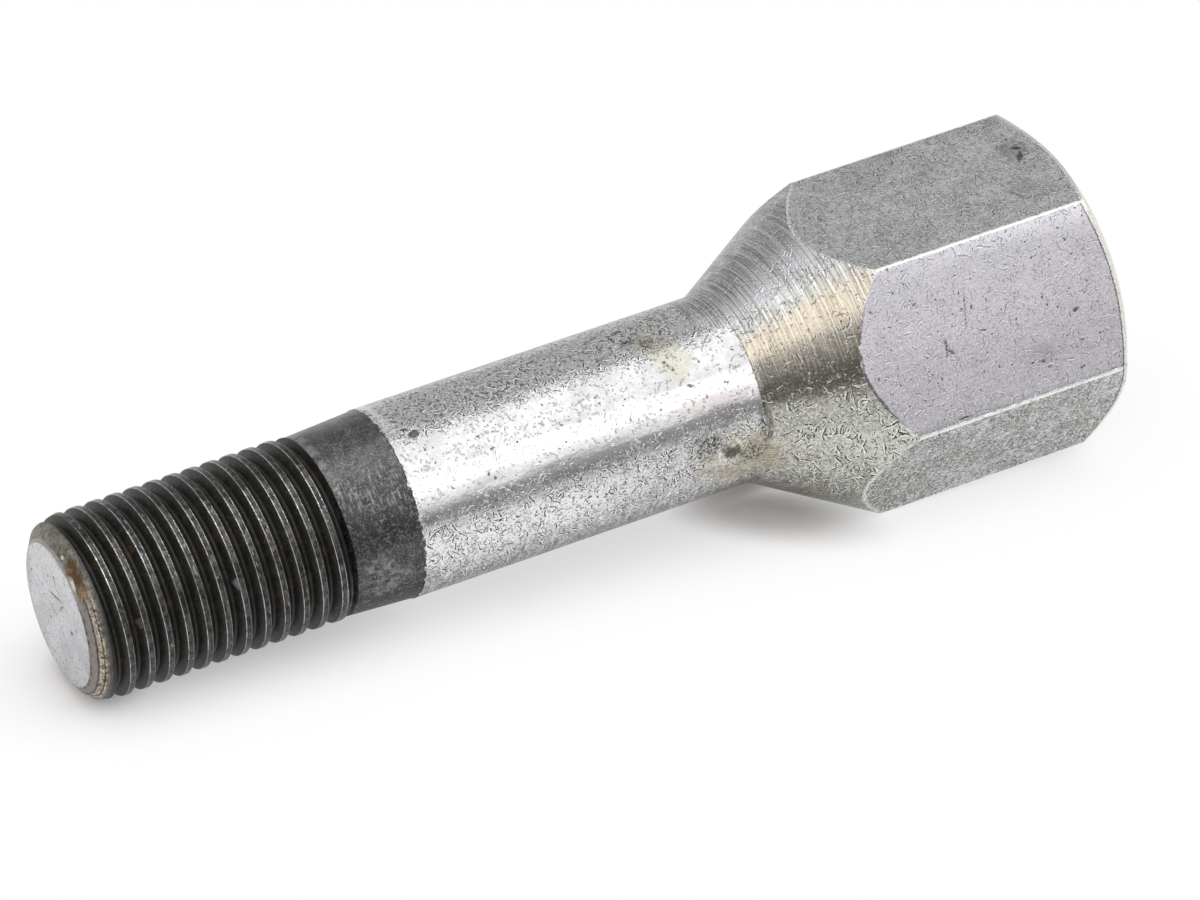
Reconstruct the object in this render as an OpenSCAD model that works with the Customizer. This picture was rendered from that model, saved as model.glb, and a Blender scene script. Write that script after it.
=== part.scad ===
// Wheel bolt with a helical thread, a plain shank, a conical seat and a tall hexagon head.
// It is built along +Z with its tip face at zero, then laid on its side as it comes to rest:
// on the first full crest of its thread and on the worn near edge of the lower flat of its head.

/* [Thread] */
// Diameter over the crests of the thread
thread_d = 13.75; // [12.6:0.05:14.2]
// Distance from one crest to the next
thread_pitch = 1.5; // [1.25:0.25:2]
// Length from the tip face to the end of the last visible turn
thread_len = 20.2; // [14:0.1:40]
// Width of the flat on a crest, as a share of the pitch
crest_share = 0.3; // [0.15:0.01:0.35]
// Turns over which the groove fades out at the shank end
runout_turns = 0.4; // [0.2:0.05:0.9]

/* [Tip] */
// Diameter of the flat tip face
tip_face_d = 10.8; // [8:0.1:11.4]
// Length over which the tip grows to the full thread diameter
lead_len = 2.3; // [1.6:0.1:4]

/* [Band] */
// Diameter of the tapered band next to the thread
band_d = 13.45; // [12.2:0.05:13.7]
// Length of the band
band_len = 5.2; // [2:0.1:10]

/* [Shank] */
// Diameter of the plain shank
shank_d = 14.2; // [13.8:0.1:17]
// Length of the plain shank up to the point where the seat would meet it without a fillet
shank_len = 27.3; // [8:0.1:60]

/* [Seat] */
// Included angle of the conical seat
seat_angle = 60; // [50:1:90]
// Radius of the fillet between the shank and the seat
seat_fillet_r = 2; // [0.5:0.5:6]

/* [Head] */
// Width across the flats of the hexagon
hex_af = 22; // [19:0.5:27]
// Length of a corner of the hexagon between the seat and the end chamfer
hex_corner_len = 17.1; // [8:0.1:30]
// Diameter of the round end face
end_face_d = 20.6; // [15:0.1:21.2]
// Angle between the end chamfer and the end face
end_chamfer_angle = 30; // [15:1:45]
// Depth of the wear where each flat meets the seat
edge_wear = 0.05; // [0.03:0.01:0.12]

/* [Hidden] */

steel = [0.66, 0.66, 0.67];

thread_r = thread_d / 2;
tip_face_r = tip_face_d / 2;
band_r = band_d / 2;
shank_r = shank_d / 2;
hex_r = hex_af / 2;
corner_r = hex_r / cos(30);
end_face_r = end_face_d / 2;

// Stations along the bolt
band_end_z = thread_len + band_len;
seat_z = band_end_z + shank_len;
seat_slope = tan(seat_angle / 2);
corner_z = seat_z + (corner_r - shank_r) / seat_slope;
corner_end_z = corner_z + hex_corner_len;
bolt_len = corner_end_z + (corner_r - end_face_r) * tan(end_chamfer_angle);

// The first turn is not full: a short steep chamfer and then a gentle rise
steep_rise_share = 0.7;
steep_len_share = 0.3;
lead_r = tip_face_r + (thread_r - tip_face_r) * steep_rise_share;
lead_z = lead_len * steep_len_share;

// The crests end just before the band, in a short shoulder
crest_end_z = thread_len - thread_pitch * 0.4;
shoulder_len = 0.3;

// Thread groove: straight flanks and a narrow root
flank_angle = 30;
root_share = 0.13;
crest_w = thread_pitch * crest_share;
groove_w = thread_pitch - crest_w;
root_w = thread_pitch * root_share;
groove_depth = (groove_w - root_w) / 2 / tan(flank_angle);
root_r = thread_r - groove_depth;
// The cutter stands out past the crests by this much
groove_over = 0.6;
groove_top_w = groove_w + 2 * groove_over * tan(flank_angle);
steps_per_turn = 40;
// The groove starts before the tip face and passes this station at angle zero
groove_z0 = thread_pitch * 0.48;
groove_start_turn = -1.3;
// Its full depth ends this many turns before the last visible turn does, and then it fades out
fade_turns_before_end = 0.28;
groove_full_turn = (thread_len - groove_z0) / thread_pitch - fade_turns_before_end;
// At the end of the fade the bottom of the groove clears the crests by this much
fade_clearance = 0.12;

// Smoothness of the turned surfaces
turned_fn = 96;

module wheel_bolt() {
    color(steel)
    difference() {
        intersection() {
            blank();
            hexagon_bar();
        }
        thread_groove();
        worn_edges();
    }
}

// Turned body, with room for the corners of the hexagon
module blank() {
    over = 0.4;
    rotate_extrude($fn = turned_fn)
    polygon(concat(
        [
            [0, 0],
            [tip_face_r, 0],
            [lead_r, lead_z],
            [thread_r, lead_len],
            [thread_r, crest_end_z],
            [band_r, crest_end_z + shoulder_len],
            [shank_r, band_end_z]
        ],
        seat_fillet(),
        [
            [corner_r + over, corner_z + over / seat_slope],
            [corner_r + over, corner_end_z - over * tan(end_chamfer_angle)],
            [end_face_r, bolt_len],
            [0, bolt_len]
        ]
    ));
}

// Points of the concave fillet between the shank and the seat
function seat_fillet() =
    let (
        half = seat_angle / 2,
        run = seat_fillet_r * tan(half / 2),
        centre_z = seat_z - run,
        centre_r = shank_r + seat_fillet_r,
        steps = 6
    )
    [for (i = [0:steps])
        let (a = half * i / steps)
        [centre_r - seat_fillet_r * cos(a), centre_z + seat_fillet_r * sin(a)]
    ];

// Prism with one flat facing +X, the side that the bolt comes to rest on
module hexagon_bar() {
    margin = 1;
    translate([0, 0, -margin])
    rotate(30)
    cylinder(r = corner_r, h = bolt_len + 2 * margin, $fn = 6);
}

// Small facets worn where the flats meet the seat, level with the ground when that side is down
module worn_edges() {
    width = corner_r;
    depth = 1;
    below = 2;
    above = 4;
    for (i = [0:5])
        rotate(60 * i)
        translate([hex_r - edge_wear, 0, flat_z])
        rotate([0, rest_tilt, 0])
        translate([0, -width / 2, -below])
        cube([depth, width, below + above]);
}

// Cutter for the groove: one section after another along the helix
module thread_groove() {
    start = groove_start_turn;
    full = groove_full_turn;
    end = full + runout_turns;
    count = ceil((end - start) * steps_per_turn);
    sections = [for (i = [0:count])
        let (
            turn = start + (end - start) * i / count,
            fade = max(0, (turn - full) / runout_turns),
            lift = fade * (groove_depth + fade_clearance)
        )
        groove_section(turn, lift)
    ];
    points = [for (s = sections) for (p = s) p];
    sides = [for (i = [0:count - 1])
        for (k = [0:3])
        let (
            a = 4 * i + k,
            b = 4 * i + (k + 1) % 4,
            c = 4 * (i + 1) + (k + 1) % 4,
            d = 4 * (i + 1) + k
        )
        each [[a, c, b], [a, d, c]]
    ];
    last = 4 * count;
    caps = [
        [1, 2, 3],
        [0, 1, 3],
        [last + 2, last + 1, last],
        [last + 3, last + 2, last]
    ];
    polyhedron(points = points, faces = concat(sides, caps), convexity = 10);
}

// Four corners of the groove at one turn, lifted outwards where it fades
function groove_section(turn, lift) =
    let (
        a = 360 * turn,
        z = groove_z0 + thread_pitch * turn,
        top = thread_r + groove_over + lift,
        low = root_r + lift
    )
    [
        [low * cos(a), low * sin(a), z - root_w / 2],
        [low * cos(a), low * sin(a), z + root_w / 2],
        [top * cos(a), top * sin(a), z + groove_top_w / 2],
        [top * cos(a), top * sin(a), z - groove_top_w / 2]
    ];

// Rest: the lower side touches the ground at a thread crest and at the worn edge of a flat
crest_turn = ceil((lead_len - groove_z0 - (thread_pitch - crest_w) / 2) / thread_pitch);
crest_z = groove_z0 + thread_pitch * (crest_turn + 0.5) - crest_w / 2;
flat_z = seat_z + (hex_r - shank_r) / seat_slope;
rest_tilt = atan((hex_r - edge_wear - thread_r) / (flat_z - crest_z));
ground = thread_r * cos(rest_tilt) - crest_z * sin(rest_tilt);
back_x = -tip_face_r * sin(rest_tilt);
front_x = bolt_len * cos(rest_tilt) + end_face_r * sin(rest_tilt);

module at_rest() {
    translate([-(back_x + front_x) / 2, 0, ground])
    rotate([0, 90 - rest_tilt, 0])
    children();
}

at_rest() wheel_bolt();
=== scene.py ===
"""The looks of a worn steel wheel bolt: oiled thread, dark band, zinc-plated shank and seat, hexagon head."""

import math
from functools import reduce
from operator import mul

import bpy
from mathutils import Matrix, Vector, noise


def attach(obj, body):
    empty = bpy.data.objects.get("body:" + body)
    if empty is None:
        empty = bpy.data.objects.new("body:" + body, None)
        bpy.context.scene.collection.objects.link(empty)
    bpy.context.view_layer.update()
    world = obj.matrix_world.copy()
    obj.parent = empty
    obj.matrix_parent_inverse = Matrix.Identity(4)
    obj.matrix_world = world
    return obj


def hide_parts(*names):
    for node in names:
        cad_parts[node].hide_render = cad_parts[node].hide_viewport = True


bl_info = {
    "name": "Wheel bolt",
    "version": (1, 0, 0),
    "blender": (4, 5, 0),
    "location": "View3D > Sidebar > Wheel bolt",
    "description": "Models a worn wheel bolt and the pale floor that it lies on",
    "category": "Object",
}

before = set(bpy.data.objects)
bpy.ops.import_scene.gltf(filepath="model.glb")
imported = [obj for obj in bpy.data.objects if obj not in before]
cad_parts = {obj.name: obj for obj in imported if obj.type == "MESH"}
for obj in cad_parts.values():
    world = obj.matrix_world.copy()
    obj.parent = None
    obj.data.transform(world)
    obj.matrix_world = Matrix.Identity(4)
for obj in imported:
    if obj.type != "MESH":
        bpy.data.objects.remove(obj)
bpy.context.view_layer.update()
MM = 0.001
# smoothness: points round the turned blank, sections in one turn of the groove, steps of the fillet
ROUND_STEPS = 192
THREAD_STEPS = 120
FILLET_STEPS = 8
# the lead at the tip: the share of its length that is steep, and the share of its rise on that part
STEEP_LENGTH = 0.3
STEEP_RISE = 0.7
# the thread: the slope of its flanks, then turns and shares of the pitch, and two lengths where it ends
FLANK_SLOPE = math.tan(math.radians(30))
ROOT_SHARE = 0.13
GROOVE_OFFSET = 0.48
FIRST_TURN = -1.3
CREST_END_TURNS = 0.4
FADE_TURNS = 0.28
FADE_CLEARANCE = 0.12 * MM
SHOULDER = 0.3 * MM
# the finished mesh: the distance that merges points, the angle up to which it is smooth, and the fewest faces
# that it has when its groove was cut
MERGE_DISTANCE = 2e-6
SMOOTH_ANGLE = math.radians(24)
FEWEST_FACES = 5000
# the camera: place in metres, turn in degrees, lens in millimetres and nearest distance
CAMERA_PLACE = (-0.221286, -0.414423, 0.339293)
CAMERA_TURN = (54.8546, -1.4157, -27.3573)
CAMERA_LENS = 238.9965
CAMERA_NEAR = 0.01


def length(name, description, default):
    return bpy.props.FloatProperty(
        name=name, description=description, default=default, unit="LENGTH", precision=5
    )


def angle(name, description, degrees):
    return bpy.props.FloatProperty(
        name=name, description=description, default=math.radians(degrees), subtype="ANGLE"
    )


def colour(name, description, default):
    return bpy.props.FloatVectorProperty(
        name=name, description=description, default=default, size=3, min=0, max=1, subtype="COLOR"
    )


def share(name, description, default, top=1.0):
    return bpy.props.FloatProperty(
        name=name, description=description, default=default, min=0, max=top, subtype="FACTOR"
    )


class BoltSizes(bpy.types.PropertyGroup):
    thread_diameter: length("Thread diameter", "Diameter over the crests", 0.01375)
    thread_pitch: length("Thread pitch", "Distance from one crest to the next", 0.0015)
    thread_length: length("Thread length", "From the tip face to the end of the last turn", 0.0202)
    crest_share: share("Crest share", "Flat of a crest as a share of the pitch", 0.3)
    runout_turns: share("Run-out", "Turns over which the groove fades out", 0.4)
    tip_face_diameter: length("Tip face diameter", "Diameter of the flat tip face", 0.0108)
    lead_length: length("Lead length", "Length over which the tip grows to full size", 0.0023)
    band_diameter: length("Band diameter", "Diameter of the band next to the thread", 0.01345)
    band_length: length("Band length", "Length of the dark tapered band", 0.0052)
    shank_diameter: length("Shank diameter", "Diameter of the plain shank", 0.0142)
    shank_length: length("Shank length", "From the band to the point where the seat starts", 0.0273)
    seat_angle: angle("Seat angle", "Included angle of the conical seat", 60)
    seat_fillet: length("Seat fillet", "Radius between the shank and the seat", 0.002)
    hexagon_width: length("Hexagon width", "Width across the flats", 0.022)
    hexagon_corner: length("Corner length", "Length of a corner of the hexagon", 0.0171)
    end_face_diameter: length("End face diameter", "Diameter of the round end face", 0.0206)
    end_chamfer: angle("End chamfer", "Angle between the end chamfer and the end face", 30)
    edge_wear: length("Edge wear", "Depth of the wear where a flat meets the seat", 0.00005)
    edge_round: length("Edge rounding", "Width of the worn edges of the head", 0.00012)


class BoltFinish(bpy.types.PropertyGroup):
    zinc: colour("Zinc", "Bright plating of the shank and the seat", (0.56, 0.56, 0.565))
    bare_steel: colour("Bare steel", "Worn steel of the crests and the edges", (0.68, 0.68, 0.69))
    tip_steel: colour("Tip steel", "Dull steel of the tip face", (0.54, 0.54, 0.555))
    flat_steel: colour("Flat steel", "Dull plating of the hexagon's flats", (0.62, 0.62, 0.645))
    oil_black: colour("Oil black", "Oiled dirt in the thread groove", (0.008, 0.0075, 0.006))
    band_dark: colour("Band dark", "Darkened steel of the band", (0.115, 0.115, 0.117))
    crest_grey: colour("Crest grey", "Worn steel on the thread's crests", (0.075, 0.071, 0.067))
    rust: colour("Rust", "Rust on the rim of the tip and the band", (0.42, 0.19, 0.05))
    straw: colour("Straw", "Yellow tint of the seat", (0.545, 0.475, 0.375))
    brown: colour("Brown", "Brown tint of the seat and the stains", (0.27, 0.243, 0.205))
    # olive dirt, and also the colour of painted shade on the shank, the seat and the flats
    grime_and_shade: colour("Grime", "Olive dirt on the plated surfaces", (0.15, 0.145, 0.12))


class StageSettings(bpy.types.PropertyGroup):
    floor_size: length("Floor size", "Side of the square floor", 4.0)
    floor_colour: colour("Floor colour", "Colour of the pale floor", (0.93, 0.93, 0.95))
    floor_lift: share("Floor lift", "How far the seen floor is lifted to white close to the bolt", 0.53)
    core_place: length("Shadow core", "Where the shadow is darkest, along the floor", 0.0150)
    core_side: length("Shadow core aside", "How far the darkest shadow lies from the middle line", 0.0026)
    core_reach: length("Shadow core reach", "Half the length of the darkest shadow", 0.0062)
    core_colour: colour("Shadow core colour", "Floor's colour in the darkest shadow", (0.95, 0.895, 0.87))
    sky_strength: share("Sky strength", "Brightness of the room round the object", 0.58, 4)
    panel_strength: share("Panel strength", "Brightness of the soft panel overhead", 1.75, 4)


# Shape


class Stations:
    """Radii, distances along the axis and the place at rest, in metres, from the stated sizes."""

    def __init__(self, sizes):
        self.thread_r = sizes.thread_diameter / 2
        self.tip_r = sizes.tip_face_diameter / 2
        self.band_r = sizes.band_diameter / 2
        self.shank_r = sizes.shank_diameter / 2
        self.hex_r = sizes.hexagon_width / 2
        self.corner_r = self.hex_r / math.cos(math.radians(30))
        self.end_r = sizes.end_face_diameter / 2
        self.pitch = sizes.thread_pitch
        self.thread_end = sizes.thread_length
        self.crest_end = self.thread_end - self.pitch * CREST_END_TURNS
        self.band_end = self.thread_end + sizes.band_length
        self.seat = self.band_end + sizes.shank_length
        self.slope = math.tan(sizes.seat_angle / 2)
        self.end_slope = math.tan(sizes.end_chamfer)
        self.corner = self.seat + (self.corner_r - self.shank_r) / self.slope
        self.corner_end = self.corner + sizes.hexagon_corner
        self.length = self.corner_end + (self.corner_r - self.end_r) * self.end_slope
        self.lead = sizes.lead_length
        self.lead_r = self.tip_r + (self.thread_r - self.tip_r) * STEEP_RISE
        self.crest = self.pitch * sizes.crest_share
        self.groove = self.pitch - self.crest
        self.root = self.pitch * ROOT_SHARE
        self.groove_depth = (self.groove - self.root) / 2 / FLANK_SLOPE
        self.groove_start = self.pitch * GROOVE_OFFSET
        self.full_turn = (self.thread_end - self.groove_start) / self.pitch - FADE_TURNS
        self.flat = self.seat + (self.hex_r - self.shank_r) / self.slope
        turn = math.ceil((self.lead - self.groove_start - (self.pitch - self.crest) / 2) / self.pitch)
        self.first_crest = self.groove_start + self.pitch * (turn + 0.5) - self.crest / 2
        rise = self.hex_r - sizes.edge_wear - self.thread_r
        self.tilt = math.atan(rise / (self.flat - self.first_crest))
        back = -self.tip_r * math.sin(self.tilt)
        front = self.length * math.cos(self.tilt) + self.end_r * math.sin(self.tilt)
        height = self.thread_r * math.cos(self.tilt) - self.first_crest * math.sin(self.tilt)
        self.origin = Vector((-(back + front) / 2, 0, height))


def start_clean():
    if bpy.context.mode != "OBJECT":
        bpy.ops.object.mode_set(mode="OBJECT")
    bpy.ops.object.select_all(action="DESELECT")


def make_active(obj):
    start_clean()
    obj.select_set(True)
    bpy.context.view_layer.objects.active = obj
    return obj


def apply_modifier(obj, kind, **settings):
    make_active(obj)
    modifier = obj.modifiers.new(kind.title(), kind)
    for name, value in settings.items():
        setattr(modifier, name, value)
    bpy.ops.object.modifier_apply(modifier=modifier.name)


def start_edit(select="SELECT"):
    bpy.ops.object.mode_set(mode="EDIT")
    bpy.ops.mesh.select_all(action=select)


def end_edit():
    """Turns all faces outwards and leaves edit mode."""
    bpy.ops.mesh.select_all(action="SELECT")
    bpy.ops.mesh.normals_make_consistent(inside=False)
    bpy.ops.object.mode_set(mode="OBJECT")


def cut(obj, tool, operation):
    apply_modifier(obj, "BOOLEAN", object=tool, operation=operation, solver="EXACT")
    bpy.data.objects.remove(tool, do_unlink=True)


def turned_outline(at, sizes):
    """(distance along the axis, radius) of the turned blank, from the tip face's worn rim to the end face."""
    points = [
        # the worn rim of the tip face
        (0.0, at.tip_r - 0.04 * MM),
        (0.03 * MM, at.tip_r + 0.02 * MM),
        (0.09 * MM, at.tip_r + 0.10 * MM),
        # the lead, with a point that bends its gentle part a little
        (at.lead * STEEP_LENGTH, at.lead_r),
        (at.lead * 0.45, at.lead_r + (at.thread_r - at.lead_r) * 0.35),
        (at.lead, at.thread_r),
        # the last crest, the band and the worn step up to the shank
        (at.crest_end, at.thread_r),
        (at.crest_end + SHOULDER, at.band_r),
        (at.band_end - 0.05 * MM, at.shank_r - 0.06 * MM),
        (at.band_end, at.shank_r),
    ]
    half = sizes.seat_angle / 2
    run = sizes.seat_fillet * math.tan(half / 2)
    for i in range(FILLET_STEPS + 1):
        a = half * i / FILLET_STEPS
        along = at.seat - run + sizes.seat_fillet * math.sin(a)
        points.append((along, at.shank_r + sizes.seat_fillet * (1 - math.cos(a))))
    # the cone and the chamfer run on past the corners, where the hexagon bar then cuts them
    over = 0.4 * MM
    points.append((at.corner + over / at.slope, at.corner_r + over))
    points.append((at.corner_end - over * at.end_slope, at.corner_r + over))
    # a last ring close to the end face keeps its rim sharp
    points.append((at.length - 0.05 * MM, at.end_r + 0.05 * MM / at.end_slope))
    points.append((at.length, at.end_r))
    return points


def turned_blank(at, sizes):
    """A disc at the tip face, extruded and scaled from station to station."""
    outline = turned_outline(at, sizes)
    start_clean()
    bpy.ops.mesh.primitive_circle_add(
        vertices=ROUND_STEPS, radius=outline[0][1], fill_type="NGON", location=(0, 0, 0)
    )
    blank = bpy.context.object
    start_edit()
    for (z0, r0), (z1, r1) in zip(outline, outline[1:]):
        bpy.ops.mesh.extrude_region_move(TRANSFORM_OT_translate={"value": (0, 0, z1 - z0)})
        if abs(r1 - r0) > 1e-9:
            bpy.ops.transform.resize(value=(r1 / r0, r1 / r0, 1), center_override=(0, 0, z1))
    end_edit()
    return blank


def hexagon_bar(at, sizes):
    """Six-sided bar with its long edges rounded by wear."""
    start_clean()
    bpy.ops.mesh.primitive_cylinder_add(
        vertices=6, radius=at.corner_r, depth=at.length + 4 * MM, location=(0, 0, at.length / 2)
    )
    bar = bpy.context.object
    for edge in bar.data.edges:
        ends = [bar.data.vertices[i].co.z for i in edge.vertices]
        edge.select = abs(ends[0] - ends[1]) > MM
    for face in bar.data.polygons:
        face.select = False
    bpy.ops.object.mode_set(mode="EDIT")
    bpy.ops.mesh.select_mode(type="EDGE")
    bpy.ops.mesh.bevel(offset=sizes.edge_round, segments=2, affect="EDGES")
    bpy.ops.object.mode_set(mode="OBJECT")
    return bar


def groove_profile(at):
    """Half widths and radii of the thread groove, from its rounded root to its worn mouth."""
    root = at.thread_r - at.groove_depth
    mouth = at.thread_r - 0.05 * MM
    wide = at.root / 2 + (mouth - root) * FLANK_SLOPE
    lip_slope = 1.3
    return [
        (0.35 * at.root / 2, root),
        (0.8 * at.root / 2, root + 0.012 * MM),
        (at.root / 2 + 0.03 * MM * FLANK_SLOPE + 0.01 * MM, root + 0.045 * MM),
        (wide, mouth),
        (wide + 0.15 * MM * lip_slope, mouth + 0.15 * MM),
    ]


def groove_cutter(at, sizes):
    """The groove's section, screwed along the helix. Its end is lifted out and its lips are uneven."""
    half = groove_profile(at)
    loop = [(r, -w) for w, r in reversed(half)] + [(r, w) for w, r in half]
    turns = at.full_turn + sizes.runout_turns - FIRST_TURN
    steps = round(turns * THREAD_STEPS)
    z0 = at.groove_start + at.pitch * FIRST_TURN
    a0 = 2 * math.pi * FIRST_TURN
    mesh = bpy.data.meshes.new("groove_cutter")
    points = [(r * math.cos(a0), r * math.sin(a0), z0 + w) for r, w in loop]
    mesh.from_pydata(points, [(i, (i + 1) % len(loop)) for i in range(len(loop))], [])
    cutter = bpy.data.objects.new("groove_cutter", mesh)
    bpy.context.collection.objects.link(cutter)
    apply_modifier(
        cutter,
        "SCREW",
        angle=2 * math.pi * turns,
        screw_offset=at.pitch * turns,
        steps=steps,
        render_steps=steps,
        use_smooth_shade=False,
        use_merge_vertices=False,
    )
    # the lips are rough: how deep that reaches, and how far it moves a point outwards and along
    lip_reach, rough_out, rough_along = 0.3 * MM, 0.010 * MM, 0.018 * MM
    for v in mesh.vertices:
        radius = math.hypot(v.co.x, v.co.y)
        # the turn that a point belongs to, from its angle and its distance along the axis
        base = math.atan2(v.co.y, v.co.x) / (2 * math.pi)
        along = (v.co.z - at.groove_start) / at.pitch
        turn = base + round(along - base)
        lift = max(0.0, (turn - at.full_turn) / sizes.runout_turns) * (at.groove_depth + FADE_CLEARANCE)
        rough = noise.noise(v.co / (0.9 * MM)) + 0.6 * noise.noise(v.co / (0.3 * MM))
        lip = max(0.0, (radius - at.thread_r + lip_reach) / lip_reach)
        new = radius + lift + rough * rough_out * lip
        v.co.x *= new / radius
        v.co.y *= new / radius
        side = 1 if v.co.z > at.groove_start + at.pitch * turn else -1
        v.co.z += side * rough * rough_along * lip
    make_active(cutter)
    start_edit("DESELECT")
    bpy.ops.mesh.select_mode(type="VERT")
    bpy.ops.mesh.select_non_manifold()
    bpy.ops.mesh.fill_holes(sides=0)
    end_edit()
    return cutter


def wear_block(at, sizes, index):
    """Block that takes the small worn facet off where one flat meets the seat."""
    start_clean()
    depth, width, tall = 1 * MM, 2 * at.corner_r, 6 * MM
    bpy.ops.mesh.primitive_cube_add(size=1, location=(0, 0, 0))
    block = bpy.context.object
    block.dimensions = (depth, width, tall)
    # its inner face is put level with the ground, then at the flat, and then turned to that flat's side
    for place, turn in (
        ((depth / 2, 0, MM), (0, 0, 0)),
        ((at.hex_r - sizes.edge_wear, 0, at.flat), (0, at.tilt, 0)),
        ((0, 0, 0), (0, 0, math.radians(60 * index))),
    ):
        block.location, block.rotation_euler = place, turn
        bpy.ops.object.transform_apply(location=True, rotation=True, scale=True)
    return block


def lay_down(obj, at):
    """Turns the upright bolt to the way it rests and leaves its object at the origin."""
    make_active(obj)
    obj.rotation_euler = (0, math.pi / 2 - at.tilt, 0)
    obj.location = at.origin
    bpy.ops.object.transform_apply(location=True, rotation=True, scale=True)


def along_axis(at, point):
    """(distance along the bolt's axis, radius) of a point of the bolt at rest."""
    axis = Vector((math.cos(at.tilt), 0, math.sin(at.tilt)))
    offset = point - at.origin
    z = offset.dot(axis)
    return z, (offset - axis * z).length


def zone_of(at, face):
    """Name of the finish that a face takes, from its place and its normal."""
    z, r = along_axis(at, face.center)
    axis = Vector((math.cos(at.tilt), 0, math.sin(at.tilt)))
    facing = face.normal.dot(axis)
    if z < 0.05 * MM and facing < -0.9:
        return "tip"
    if z > at.length - 0.03 * MM and facing > 0.9:
        return "end"
    if z < at.crest_end + 0.35 * MM:
        return "thread"
    if z < at.flat - 0.05 * MM:
        return "shank"
    if z > at.corner - 0.1 * MM:
        return "head"
    if r < at.shank_r + (z - at.seat) * at.slope - 0.02 * MM:
        return "head"
    return "shank"


# Finish


class Tone(tuple):
    """A colour that can be multiplied to make it lighter or darker."""

    def __mul__(self, factor):
        return Tone(min(1.0, c * factor) for c in self)


class Tones:
    """The colours of the bolt's finish by their names, as tones."""

    def __init__(self, finish):
        for name in BoltFinish.__annotations__:
            setattr(self, name, Tone(getattr(finish, name)))


class Value:
    """What a node gives. Sums, products and the like of values are new nodes in the same tree."""

    def __init__(self, nodes, socket):
        self.nodes, self.socket = nodes, socket

    def __add__(self, other):
        return self.nodes.math("ADD", self, other)

    def __sub__(self, other):
        return self.nodes.math("SUBTRACT", self, other)

    def __mul__(self, other):
        return self.nodes.math("MULTIPLY", self, other)

    def __truediv__(self, other):
        return self.nodes.math("DIVIDE", self, other)

    def __radd__(self, other):
        return self.nodes.math("ADD", other, self)

    def __rsub__(self, other):
        return self.nodes.math("SUBTRACT", other, self)

    def __abs__(self):
        return self.nodes.math("ABSOLUTE", self)


class Nodes:
    """Adds nodes to one tree and joins them. An input takes a number, a colour or another node's value."""

    def __init__(self, tree):
        self.tree = tree

    def add(self, kind, **settings):
        node = self.tree.nodes.new(kind)
        for name, value in settings.items():
            setattr(node, name, value)
        return node

    def feed(self, socket, value):
        if isinstance(value, Value):
            self.tree.links.new(value.socket, socket)
        elif isinstance(value, (int, float)):
            socket.default_value = value
        elif len(socket.default_value) == 4:
            socket.default_value = (*value[:3], 1)
        else:
            socket.default_value = value

    def fill(self, node, inputs):
        for name, value in inputs.items():
            self.feed(node.inputs[name], value)

    def value(self, kind, inputs=(), output=0, **settings):
        """What a new node gives. Its inputs are a row, in their order, or go by name or number."""
        node = self.add(kind, **settings)
        self.fill(node, inputs if isinstance(inputs, dict) else dict(enumerate(inputs)))
        return Value(self, node.outputs[output])

    def parts(self, vector, kind="ShaderNodeSeparateXYZ"):
        node = self.add(kind)
        self.feed(node.inputs[0], vector)
        return [Value(self, socket) for socket in node.outputs]

    def math(self, operation, *values):
        return self.value("ShaderNodeMath", values, operation=operation)

    def most(self, *values):
        return reduce(lambda total, value: self.math("MAXIMUM", total, value), values)

    def far(self, first, second):
        """Distance from the middle of a point with the two coordinates."""
        return self.math("SQRT", first * first + second * second)

    def ramp(self, value, low, high, start=0.0, end=1.0):
        """From start where the value is low to end where it is high, with smooth ends."""
        values = (value, low, high, start, end)
        return self.value("ShaderNodeMapRange", values, interpolation_type="SMOOTHSTEP")

    def fall(self, value, low, high):
        """1 where the value is low and 0 where it is high."""
        return self.ramp(value, low, high, 1.0, 0.0)

    def between(self, value, low, high, soft):
        """1 from low to high, fading to 0 over the soft distance on either side."""
        return self.ramp(value, low - soft, low + soft) * self.fall(value, high - soft, high + soft)

    def mix(self, factor, first, second):
        return self.value("ShaderNodeMix", {0: factor, 6: first, 7: second}, 2, data_type="RGBA")

    def blend(self, factor, first, second):
        return self.value("ShaderNodeMix", {0: factor, 2: first, 3: second}, data_type="FLOAT")

    def coats(self, colour, *coats):
        """The colour under one coat after another, each its tone and the amounts that together thin it."""
        for tone, *amounts in coats:
            colour = self.mix(reduce(mul, amounts), colour, tone)
        return colour


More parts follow.
